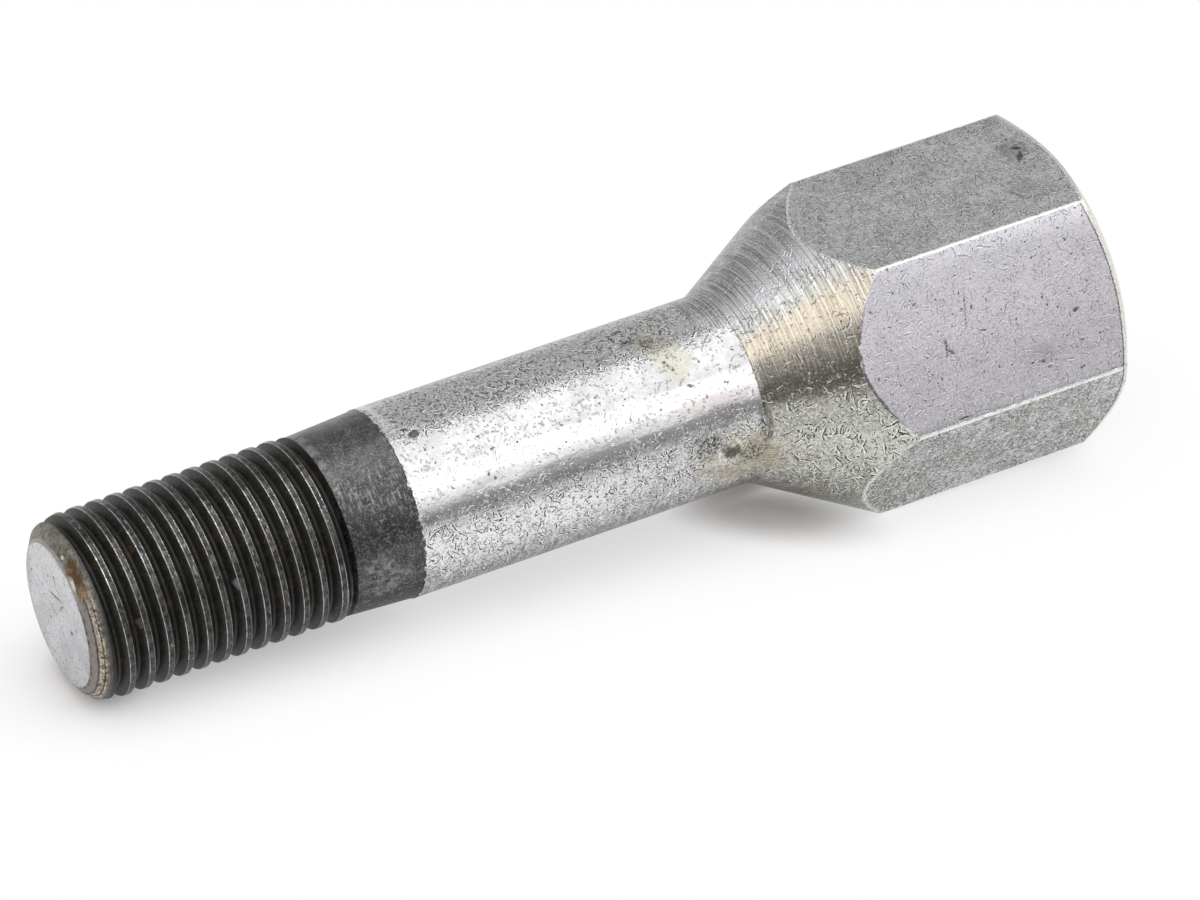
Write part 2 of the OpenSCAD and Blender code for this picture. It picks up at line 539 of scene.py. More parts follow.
class Paint(Nodes):
    """One material of the bolt. Lengths are millimetres along the bolt and round it, and angles are degrees
    round it, from the top towards the camera's side."""

    def __init__(self, name, at, girth=None):
        self.material = bpy.data.materials.new(name)
        self.material.use_nodes = True
        super().__init__(self.material.node_tree)
        self.tree.nodes.clear()
        self.shader = self.add("ShaderNodeBsdfPrincipled")
        surface = Value(self, self.shader.outputs["BSDF"])
        self.feed(self.add("ShaderNodeOutputMaterial").inputs["Surface"], surface)
        # the bolt's own axes: along it from the tip face, aside and up
        c, s = math.cos(at.tilt), math.sin(at.tilt)
        x, z = at.origin.x / MM, at.origin.z / MM
        turn = {
            "Vector": self.value("ShaderNodeTexCoord", output="Object"),
            "Location": (-(x * c + z * s), 0, -(z * c - x * s)),
            "Rotation": (0, at.tilt, 0),
            "Scale": (1 / MM, 1 / MM, 1 / MM),
        }
        self.place = self.value("ShaderNodeMapping", turn, vector_type="POINT")
        self.along, self.side, self.up = self.parts(self.place)
        self.round = self.math("ARCTAN2", self.side * -1.0, self.up) * (180 / math.pi)
        self.radius = self.far(self.side, self.up)
        # the surface unrolled on to a sheet of the stated girth, or the plain plane of an end face
        self.girth = girth
        sheet = (self.side, self.up, 0.0)
        if girth:
            sheet = (self.along, self.round * math.radians(girth), self.radius)
        self.even_sheet = self.value("ShaderNodeCombineXYZ", sheet)
        # marks are placed on a slightly bent sheet, so that none of them is straight
        self.kept = {}
        bend = (0.16, 0.16, 0.16)
        values = (self.noise(2.2, 0, colour=True), bend, self.even_sheet)
        self.sheet = self.value("ShaderNodeVectorMath", values, operation="MULTIPLY_ADD")

    def sweep(self, low, high, start=0.0, end=1.0):
        """From start at one angle round the bolt to end at another."""
        return self.ramp(self.round, low, high, start, end)

    def arc(self, low, high, soft):
        """1 between two angles round the bolt."""
        return self.between(self.round, low, high, soft)

    def noise(self, scale, detail=2.0, rough=0.5, seed=0.0, colour=False):
        """Noise in space. A call that repeats an earlier one gets the same noise."""
        key = (scale, detail, rough, seed, colour)
        if key not in self.kept:
            shift = {"Vector": self.place, "Location": (seed * 7.3, seed * 3.1, seed * 5.7)}
            inputs = {
                "Vector": self.value("ShaderNodeMapping", shift, vector_type="POINT"),
                "Scale": scale,
                "Detail": detail,
                "Roughness": rough,
            }
            self.kept[key] = self.value("ShaderNodeTexNoise", inputs, "Color" if colour else 0)
        return self.kept[key]

    def on_sheet(self, centre, degrees, scale, even=False):
        """Place on the unrolled surface, turned about a centre and measured in the stated lengths."""
        inputs = {
            "Vector": self.even_sheet if even else self.sheet,
            "Location": centre,
            "Rotation": (0, 0, math.radians(degrees)),
            "Scale": scale,
        }
        return self.value("ShaderNodeMapping", inputs, vector_type="TEXTURE")

    def spot(self, first, second, long, wide, degrees=0.0, wobble=0.0, scale=1.0):
        """1 inside an oval with an uneven rim.

        It takes the oval's place along and round the bolt, or aside and up on an end face, its half length
        and width, its turn, and how far and how finely its rim wobbles.
        """
        if self.girth:
            second *= math.radians(self.girth)
        centred = self.on_sheet((first, second, 0), degrees, (long, wide, 1000))
        reach = self.value("ShaderNodeVectorMath", [centred], "Value", operation="LENGTH")
        if wobble:
            reach = reach + (self.noise(scale, 3, 0.6) - 0.5) * wobble
        return self.fall(reach, 0.55, 1.2)

    def spots(self, *rows):
        return self.most(*(self.spot(*row) for row in rows))

    def lines(self, degrees, long, wide, seed, detail=0.0, even=False):
        """Noise drawn out in one direction on the unrolled surface."""
        centre = (seed * 2.3, seed * 3.1, seed * 5.7)
        inputs = {
            "Vector": self.on_sheet(centre, degrees, (long, wide, 1), even),
            "Scale": 1.0,
            "Detail": detail,
        }
        return self.value("ShaderNodeTexNoise", inputs)

    def ticks(self, cell, long, wide, curve, share, seed):
        """Short curved scratches: bright burrs, and the dark cuts beside them. The pair is also a painted
        highlight and painted shade that make each scratch look embossed.

        Each cell of the sheet has one at most, and share is how many of the cells have one. Sizes are in
        millimetres, and wide is half of a cut's width.
        """
        here = self.on_sheet((seed, seed * 1.7, 0), 0, (1, 1, 1))
        cells = self.add("ShaderNodeTexVoronoi", voronoi_dimensions="2D")
        self.fill(cells, {"Vector": here, "Scale": 1 / cell})
        aim, curl, size = self.parts(Value(self, cells.outputs["Color"]), "ShaderNodeSeparateColor")
        middle = Value(self, cells.outputs["Position"])
        offset = self.value("ShaderNodeVectorMath", (here, middle), operation="SUBTRACT")
        turn = {"Vector": offset, "Angle": aim * (2 * math.pi)}
        turned = self.value("ShaderNodeVectorRotate", turn, rotation_type="Z_AXIS")
        ahead, aside, _ = self.parts(turned)
        aside = aside + ahead * ahead * (curl - 0.5) * (curve / long)
        length = self.ramp(size, 0.0, 1.0, 0.35 * long, long)
        lot = self.math("FRACT", aim * 7.3 + curl * 3.1)
        line = self.fall(abs(ahead) / length, 0.7, 1.0) * self.math("LESS_THAN", lot, share)
        cut = self.fall(abs(aside), 0.5 * wide, 1.2 * wide)
        burr = self.fall(abs(aside - 2.1 * wide), 0.4 * wide, 1.2 * wide)
        return burr * line, cut * line

    def wear(self, share, seed):
        """Scratches of four sizes together: bright burrs and dark cuts, which are also painted highlight and
        painted shade.
        """
        # cell, length, half width and curve of each size
        sizes = (
            (2.6, 1.3, 0.028, 0.2),
            (0.95, 0.46, 0.050, 0.9),
            (0.50, 0.26, 0.042, 0.9),
            (0.29, 0.14, 0.032, 0.9),
        )
        burrs, cuts = zip(*(self.ticks(*size, share, seed + i * 2.3) for i, size in enumerate(sizes)))
        return self.most(*burrs), self.most(*cuts)

    def speckle(self, value, amount, dark, bright):
        """Two coats: a dark one where a noise is low and a bright one where it is high."""
        return ((dark, self.fall(value, 0.34, 0.50), amount), (bright, self.ramp(value, 0.50, 0.66), amount))

    def finish(self, colour, roughness, height, depth, metal=1.0):
        """The finished material, with a bump of the stated depth in millimetres for a height from 0 to 1."""
        normal = self.value("ShaderNodeBump", {"Strength": 1.0, "Distance": depth * MM, "Height": height})
        inputs = {"Base Color": colour, "Roughness": roughness, "Metallic": metal, "Normal": normal}
        self.fill(self.shader, inputs)
        return self.material


def mm(value):
    return value / MM


def tip_finish(at, finish):
    """Flat tip: satin bare steel with fine marks and a few dark scratches."""
    p = Paint("bare_steel_tip", at)
    cloud = p.noise(0.45, 3, 0.55)
    grain = p.noise(4.0, 3, 0.6)
    raised, sunk = p.wear(0.35, 3.0)
    specks = p.ramp(p.noise(2.6, 1, 0.5, 4.0), 0.66, 0.71)
    rim = p.ramp(p.radius, mm(at.tip_r) - 0.9, mm(at.tip_r))
    worn = rim * p.ramp(p.noise(1.6, 3, 0.6, 5.0), 0.42, 0.6)
    scar = p.spots(
        (0.25, 1.65, 1.35, 0.11, -12, 1.2, 1.4),
        (0.75, 0.15, 0.75, 0.07, 24, 1.2, 1.4),
        (-0.78, 1.25, 0.62, 0.09, -50, 0.7, 1.4),
        (0.17, 3.3, 0.2, 0.16, 0, 0.9, 3.0),
        (0.05, 2.95, 0.3, 0.08, 70, 0.6, 3.0),
        (-2.3, 0.05, 0.3, 0.2, -40, 0.9, 3.0),
        (2.5, 1.2, 0.14, 0.12, 0, 0.9, 3.0),
        (1.45, -1.0, 0.16, 0.12, 0, 0.9, 3.0),
    )
    steel = p.mix(p.ramp(cloud, 0.35, 0.65), finish.tip_steel * 0.91, finish.tip_steel * 1.12)
    steel = p.coats(
        steel,
        # painted light: the face lighter towards its top
        (finish.tip_steel * 1.15, p.ramp(p.up, 1.0, 4.5)),
        (finish.grime_and_shade, sunk, 0.6),
        ((0.8, 0.8, 0.82), raised, 0.55),
        (finish.grime_and_shade, specks, 0.8),
        (finish.grime_and_shade * 1.6, worn, 0.45),
        (finish.grime_and_shade * 0.4, scar, 0.85),
    )
    height = grain * 0.3 - sunk * 0.4 + raised * 0.3 - scar * 1.4 + cloud * 0.5
    return p.finish(steel, p.blend(grain, 0.28, 0.42), height, 0.02)


def thread_finish(at, finish):
    """Thread: oiled dirt in the groove, rubbed crests with bright lips, and a rusty worn rim at the tip."""
    crest_r = mm(at.thread_r)
    p = Paint("oiled_thread", at, crest_r)
    p.shader.inputs["Specular IOR Level"].default_value = 0.3
    crest = p.ramp(p.radius, crest_r - 0.09, crest_r - 0.03)
    turn = (p.along - 0.72) * (1 / mm(at.pitch)) - p.round * (1 / 360)
    phase = abs(p.math("FRACT", turn + 0.5) - 0.5)
    rub = p.noise(2.2, 3, 0.65, 1.0)
    nick = p.lines(90, 0.55, 0.22, 1.0, 2.0)
    lip = p.between(phase, 0.122, 0.15, 0.009) * p.ramp(p.radius, crest_r - 0.1, crest_r - 0.03)
    lip = lip * p.ramp(nick, 0.36, 0.56, 0.4, 1.0)
    # the groove is filled with black oil that thins to brown
    dirt = p.noise(1.3, 4, 0.62, 2.0)
    speckle = p.noise(5.0, 3, 0.7, 3.0)
    oil = p.mix(p.ramp(dirt, 0.35, 0.7), finish.oil_black, finish.oil_black * 2.4)
    rusty = p.ramp(p.noise(0.7, 4, 0.65, 4.0), 0.6, 0.72)
    oil = p.coats(
        oil,
        (finish.crest_grey * 0.9, p.ramp(speckle, 0.56, 0.72), 0.4),
        ((0.085, 0.066, 0.042), p.ramp(speckle, 0.6, 0.68), p.ramp(dirt, 0.4, 0.6), 0.5),
        (finish.rust * 0.3, rusty, 0.3),
    )
    top = p.mix(p.ramp(rub, 0.35, 0.65), finish.crest_grey * 0.4, finish.crest_grey * 1.35)
    top = p.mix(p.ramp(nick, 0.62, 0.72) * 0.35, top, finish.bare_steel * 0.7)
    colour = p.mix(crest, oil, top)
    # the lips: bare steel, painted white as a highlight where they face the panel
    lip_steel_and_highlight = p.mix(p.arc(14, 44, 8), finish.bare_steel * 0.85, (1.0, 1.0, 1.0))
    glints = p.between(phase, 0.108, 0.162, 0.012) * p.arc(12, 46, 6) * p.ramp(speckle, 0.55, 0.6) * crest
    # blob of dirt in one groove and a burr on one crest
    blob = p.spot(3.7, 72, 0.26, 0.44, 0, 1.4, 2.5)
    burr = p.spot(11.3, 69, 0.2, 0.66, -12, 1.4, 2.5)
    # worn rim at the tip: thin rings of steel, dirt and rust
    patches = p.noise(2.4, 4, 0.66, 6.5)
    ring = p.along + (p.noise(0.9, 3, 0.6, 6.0) - 0.5) * 0.14
    rim = p.fall(ring, 1.1, 1.3)
    low = p.sweep(40, 60)
    broken = p.ramp(speckle, 0.4, 0.56)
    patchy = p.ramp(patches, 0.38, 0.62)
    high_side = p.mix(patchy, finish.brown * 0.32, finish.brown * 0.95)
    high_side = p.coats(
        high_side,
        (finish.brown * 1.3, broken, 0.35),
        (finish.bare_steel * 0.62, p.between(ring, -0.2, 0.16, 0.05), 0.7),
    )
    low_side = p.mix(patchy, finish.brown * 0.4, finish.brown * 1.1)
    cream = p.between(ring, 0.46, 0.84, 0.05) * p.ramp(patches, 0.38, 0.52)
    cream_tone = p.mix(broken, finish.brown * 0.9, finish.straw * 1.25)
    line = p.most(p.between(ring, 0.37, 0.42, 0.03), p.between(ring, 0.67, 0.73, 0.03))
    low_side = p.coats(
        low_side,
        ((0.3, 0.265, 0.26), p.between(ring, 0.12, 0.36, 0.04), 0.75),
        (cream_tone, cream, 0.9),
        (finish.oil_black, line, 0.85),
    )
    worn = p.mix(low, high_side, low_side)
    dark_rust = p.spot(0.6, 28, 0.42, 1.5, 0, 1.2, 2.4)
    orange = p.spots((0.5, 42, 0.26, 0.42, 0, 1.2, 2.4), (0.4, 24, 0.14, 0.3, 0, 1.2, 2.4))
    glint = p.spots((0.24, 34, 0.12, 0.75, 0, 0.6, 2.4), (0.4, 12, 0.09, 0.22, 0, 0.9, 2.4))
    worn = p.coats(
        worn,
        ((0.075, 0.08, 0.082), p.ramp(ring, 0.92, 1.08), 0.8),
        (finish.rust * 0.22, dark_rust, p.ramp(patches, 0.36, 0.5), 0.85),
        (finish.rust, orange, broken, 0.9),
        ((0.8, 0.77, 0.66), glint, p.ramp(speckle, 0.34, 0.48), 0.95),
    )
    colour = p.coats(
        colour,
        (lip_steel_and_highlight, lip, 0.95),
        ((0.93, 0.95, 1.0), glints),
        # painted shade on the underside, and painted light on the crests along the upper rim
        (finish.oil_black, p.arc(112, 150, 10), 0.5),
        (finish.bare_steel * 0.5, p.arc(-46, -20, 12), crest, 0.3),
        ((0.105, 0.094, 0.072), blob, p.blend(speckle, 0.35, 0.9)),
        (finish.bare_steel * 0.3, burr, p.blend(speckle, 0.3, 0.9)),
        (worn, rim),
    )
    height = (
        p.noise(4.0, 4, 0.65, 8.0) * 0.5
        + dirt * 0.6
        + nick * 0.5
        + p.most(blob, burr) * 1.5
        - rim * low * line * 0.9
        + rim * patches * 1.6
        + rim * broken * 0.4
    )
    metal = p.most(crest * 0.95, rim * 0.9)
    roughness = p.blend(crest, p.blend(dirt, 0.34, 0.55), p.blend(rub, 0.42, 0.28))
    return p.finish(colour, roughness, height, 0.05, metal)


def shank_finish(at, finish):
    """Dark band, bright worn zinc and the turned seat, one after another along the bolt."""
    p = Paint("worn_zinc_shank", at, 8.0)
    p.shader.inputs["Specular Tint"].default_value = (0.82, 0.82, 0.82, 1)
    # where the surface is band, plain zinc and seat
    jag = (p.noise(1.9, 4, 0.72, 1.0) - 0.5) * 0.75
    edge = p.along + jag
    band = p.fall(edge, mm(at.band_end) - 0.03, mm(at.band_end) + 0.03)
    step = p.along + jag * 0.3 - p.sweep(5, 20, 50.4, 52.8)
    seat = p.ramp(step, -0.06, 0.06)
    # scratches, specks and grain, with the fewest scratches on the brightest strip
    quiet = p.arc(20, 67, 5)
    patch = p.ramp(p.noise(0.75, 3, 0.62, 3.0), 0.4, 0.6)
    middling = p.arc(58, 72, 4)
    raised, sunk = p.wear(p.blend(quiet, p.blend(patch, 0.12, 1.0), p.blend(patch, 0.08, 0.36)), 2.0)
    busy = p.blend(p.most(quiet, middling * 0.5), 1.0, 0.0)
    strength = p.blend(busy, 0.24, 1.0)
    scores, score_cuts = p.ticks(1.25, 0.62, 0.046, 0.7, p.sweep(70, 84) * p.blend(patch, 0.2, 0.95), 8.0)
    dots = p.noise(3.2, 1, 0.5, 9.0)
    specks = p.ramp(dots, 0.7, 0.74)
    mottle = p.noise(1.5, 4, 0.68, 12.0)
    grit = p.noise(5.5, 2, 0.6, 14.0)
    cloud = p.noise(0.3, 4, 0.6, 3.5)
    grain = p.noise(4.5, 2, 0.6)
    flow = p.lines(0, 7.0, 1.5, 11.0, 1.0)
    raised, sunk = p.most(raised, scores), p.most(sunk, score_cuts)
    # the plain zinc: painted lights and painted shades round the bolt, then dirt, marks and stains
    zinc = p.mix(p.ramp(cloud, 0.38, 0.62), finish.zinc * 0.9, finish.zinc * 1.12)
    lit_side = p.arc(79, 101, 5) * p.ramp(p.along, 37, 45, 1.0, 0.15)
    gritty = p.blend(busy, 0.1, 0.5) + p.sweep(98, 112, 0.0, 0.15)
    shadowed = p.fall(p.round, 2, 16) + p.arc(66, 76, 5) * 0.6
    # under the belly the marks are drawn out round the bolt
    belly = p.lines(90, 1.6, 0.42, 13.0, 2.0)
    underside = p.sweep(98, 112)
    upper_rim = p.arc(-54, -20, 8)
    upper_side = p.arc(-52, 11, 8)
    torn = p.between(p.along, 25.6, 26.2, 0.35) * p.fall(p.round, 0, 22) * p.ramp(mottle, 0.42, 0.5)
    stain = p.spot(47.2, 20, 3.2, 1.5, 66, 2.2, 0.8)
    crack = p.spots(
        (46.5, 9, 0.6, 0.4, 40, 1.4, 2.2),
        (47.1, 29, 0.85, 0.16, 66, 1.4, 2.2),
        (45.3, 3, 0.55, 0.4, 0, 1.4, 2.2),
        (48.0, 44, 0.3, 0.16, 20, 1.4, 2.2),
    )
    crack = crack * p.ramp(grit, 0.4, 0.54)
    pink = p.spot(49.3, 57, 3.6, 1.1, 0, 0.9, 0.8)
    zinc = p.coats(
        zinc,
        # painted highlights: a lighter band where the floor is reflected, and two strips lightened round the
        # bolt
        (finish.zinc * 1.55, lit_side),
        (finish.zinc * 1.38, p.arc(60, 67, 3)),
        (finish.zinc * 1.5, p.arc(43, 52, 3)),
        # painted shade: the bright strip dimmed in mottled patches
        (finish.zinc * 0.8, p.arc(18, 42, 4), p.ramp(mottle, 0.4, 0.62), 0.6),
        (finish.grime_and_shade * 1.4, p.fall(mottle, 0.3, 0.52), 1 - quiet, 0.6),
        *p.speckle(grit, gritty, finish.grime_and_shade * 0.9, (0.94, 0.94, 0.94)),
        # painted shade: darker above the bright strip and in a strip below it, in patches
        (finish.grime_and_shade * 1.3, shadowed, p.blend(patch, 0.0, 0.24)),
        # painted shade: the underside darker, darkest at its lower edge
        (finish.grime_and_shade * 0.9, p.arc(119, 158, 11), 0.75),
        (finish.grime_and_shade * 0.35, p.arc(131, 160, 6), 0.85),
        *p.speckle(belly, p.most(underside, upper_rim) * 0.4, finish.grime_and_shade * 0.5, (0.87, 0.87, 0.86)),
        # painted shade on the upper rim
        (finish.grime_and_shade * 1.1, p.arc(-62, -29, 8), 0.46),
        # painted light: the upper side lighter
        (finish.zinc * 1.25, upper_side, 0.45),
        (finish.grime_and_shade * 0.5, p.fall(dots, 0.34, 0.43), upper_side, 0.75),
        ((0.95, 0.95, 0.95), p.ramp(dots, 0.58, 0.67), upper_side, 0.85),
        (finish.grime_and_shade * 0.18, sunk, strength, 0.95),
        ((0.97, 0.97, 0.96), raised, strength, 0.9),
        ((0.95, 0.95, 0.96), torn, 0.9),
        (finish.grime_and_shade * 0.4, specks, 0.8),
        ((0.44, 0.42, 0.28), stain, p.blend(mottle, 0.1, 0.75)),
        (finish.brown * 0.3, crack, 0.85),
        ((0.42, 0.34, 0.33), pink, 0.35),
    )
    dent = p.spots((27.4, 16.5, 0.5, 0.38, -20, 1.2, 2.6), (26.9, 11, 0.36, 0.14, 20, 1.5, 2.2))
    # the seat: turned rings, and tints round it: a painted highlight above, the coating's straw and brown,
    # olive grey, a painted reflection of the floor lower down and painted shade below
    turning = p.lines(90, 6.0, 0.115, 4.0, 1.0, even=True)
    ring_up, ring_down = p.ramp(turning, 0.55, 0.62), p.fall(turning, 0.38, 0.45)
    lathe = p.arc(-30, 48, 14) * p.blend(p.ramp(cloud, 0.35, 0.6), 0.6, 1.0)
    lathe = lathe * p.blend(p.arc(25, 50, 5), 1.0, 0.65)
    # painted highlight: pale and bluish at the top
    tone = p.mix(p.sweep(9, 25), (0.92, 0.93, 0.97), (0.45, 0.445, 0.42))
    marks = p.sweep(52, 76, 0.4, 1.0)
    drawn_out = p.most(p.sweep(84, 104), upper_rim)
    tone = p.coats(
        tone,
        (finish.straw, p.sweep(22, 33)),
        (finish.brown, p.sweep(37, 47)),
        ((0.47, 0.466, 0.425), p.sweep(63, 74)),
        # painted reflection of the floor: a lighter band low down
        ((0.62, 0.615, 0.57), p.arc(84, 100, 5)),
        (finish.zinc * 0.76, p.fall(p.round, -8, 12)),
        (finish.grime_and_shade, p.ramp(cloud, 0.42, 0.7), 0.22),
        # painted shade on the underside
        (finish.grime_and_shade, p.sweep(104, 120), 0.58),
        (finish.grime_and_shade * 0.8, ring_down, lathe, 0.55),
        ((0.9, 0.9, 0.91), ring_up, lathe, 0.55),
        (finish.grime_and_shade * 1.5, p.fall(mottle, 0.34, 0.56), p.sweep(58, 78), 0.4),
        *p.speckle(belly, drawn_out * 0.3, finish.grime_and_shade * 0.5, (0.82, 0.82, 0.78)),
        *p.speckle(grit, p.sweep(44, 76, 0.14, 0.46), finish.grime_and_shade * 0.6, (0.88, 0.88, 0.84)),
        (finish.grime_and_shade * 0.3, sunk, marks, 0.95),
        ((0.92, 0.92, 0.88), raised, marks, 0.85),
        (finish.grime_and_shade * 0.5, specks, 0.7),
    )
    colour = p.mix(seat, zinc, tone)
    low = p.spot(51.2, 98, 3.8, 2.7, 10, 1.6, 0.8)
    seam_dirt = p.spot(52.9, 80, 0.5, 2.0, 0, 1.8, 1.8)
    halo = p.spot(50.0, 90, 1.45, 1.55, 20, 1.4, 2.2) * p.ramp(grit, 0.46, 0.54)
    pit = p.most(
        p.spot(50.0, 91, 0.85, 0.66, 40, 1.9, 3.0),
        p.spot(48.4, 82, 1.6, 1.1, 30, 1.6, 1.6) * p.ramp(grit, 0.47, 0.54),
        p.spot(51.8, 97, 1.3, 1.1, 0, 1.6, 1.6) * p.ramp(grit, 0.5, 0.57),
    )
    ledge = p.between(step, -0.03, 0.1, 0.04) * p.arc(18, 74, 4)
    colour = p.coats(
        colour,
        ((0.39, 0.335, 0.215), low, p.ramp(mottle, 0.32, 0.6, 0.3, 0.72)),
        (finish.brown * 0.35, seam_dirt, p.ramp(grit, 0.38, 0.56), 0.75),
        ((0.9, 0.9, 0.86), halo, 0.6),
        (finish.grime_and_shade * 0.35, pit, 0.85),
        ((0.06, 0.06, 0.07), dent, 0.85),
        (finish.grime_and_shade * 0.6, ledge, p.ramp(grain, 0.4, 0.55), 0.75),
    )
    # the band: dark, with painted lights and painted shades round it, hoops of wear and a little rust
    lit = (
        1.0
        + p.arc(-54, -18, 12) * 1.6
        + p.sweep(16, 46, 0.0, -0.5)
        + p.arc(76, 102, 6) * 0.26
        + p.sweep(104, 120, 0.0, -0.1)
    )
    tarnish = p.ramp(p.noise(0.7, 3, 0.6, 13.0), 0.35, 0.65)
    coat = p.mix(tarnish, finish.band_dark * 0.85, finish.band_dark * 1.2)
    coat = p.value("ShaderNodeVectorMath", {0: coat, "Scale": lit}, operation="SCALE")
    hoop = p.lines(90, 1.1, 0.16, 8.0, 1.0, even=True) * p.arc(22, 60, 12)
    pale = p.spot(22.6, 99, 2.0, 2.2, 0, 1.4, 0.8)
    collar = p.between(edge, 19.7, 20.6, 0.12) * p.fall(p.round, 6, 34) * p.ramp(mottle, 0.36, 0.56)
    rust_spots = p.spots((20.6, 32, 0.34, 0.9, 20, 2.2, 2.2), (21.7, 40, 0.3, 0.5, 0, 2.2, 2.2))
    rust_tone = p.mix(p.ramp(grain, 0.42, 0.58), finish.rust * 0.4, finish.straw * 0.7)
    smear = p.spot(20.9, 48, 0.5, 1.6, 0, 1.4, 0.8)
    coat = p.coats(
        coat,
        (finish.bare_steel * 0.6, p.ramp(mottle, 0.5, 0.72), 0.2),
        *p.speckle(grit, 0.32, finish.band_dark * 0.35, finish.bare_steel * 0.5),
        (finish.band_dark * 0.45, p.fall(mottle, 0.3, 0.46), 0.45),
        (finish.bare_steel * 0.55, p.ramp(hoop, 0.5, 0.72), 0.42),
        (finish.bare_steel * 0.6, raised, p.ramp(mottle, 0.42, 0.6), 0.42),
        (finish.bare_steel * 0.6, pale, p.most(raised, p.ramp(mottle, 0.44, 0.6)), 0.42),
        (finish.bare_steel * 0.6, collar, 0.45),
        (rust_tone, rust_spots, p.ramp(grain, 0.46, 0.56), 0.6),
        (finish.brown * 0.28, smear, 0.35),
    )
    colour = p.mix(band, colour, coat)
    height = (
        (raised - sunk) * p.blend(band, 1.0, 0.3)
        + mottle * 0.7
        + grit * p.blend(busy, 0.15, 0.8)
        + belly * underside * 0.5
        + (ring_up - ring_down) * lathe * seat * 0.5
        + flow * (1 - band) * 2.2
        + cloud * 1.5
        - specks * 0.6
        - p.most(pit, dent) * 1.8
        - band * 1.2
    )
    zinc_rough = p.blend(p.most(seat, 1 - quiet), p.blend(grain, 0.14, 0.21), p.blend(grain, 0.18, 0.26))
    return p.finish(colour, p.blend(band, zinc_rough, p.blend(mottle, 0.38, 0.46)), height, 0.018)


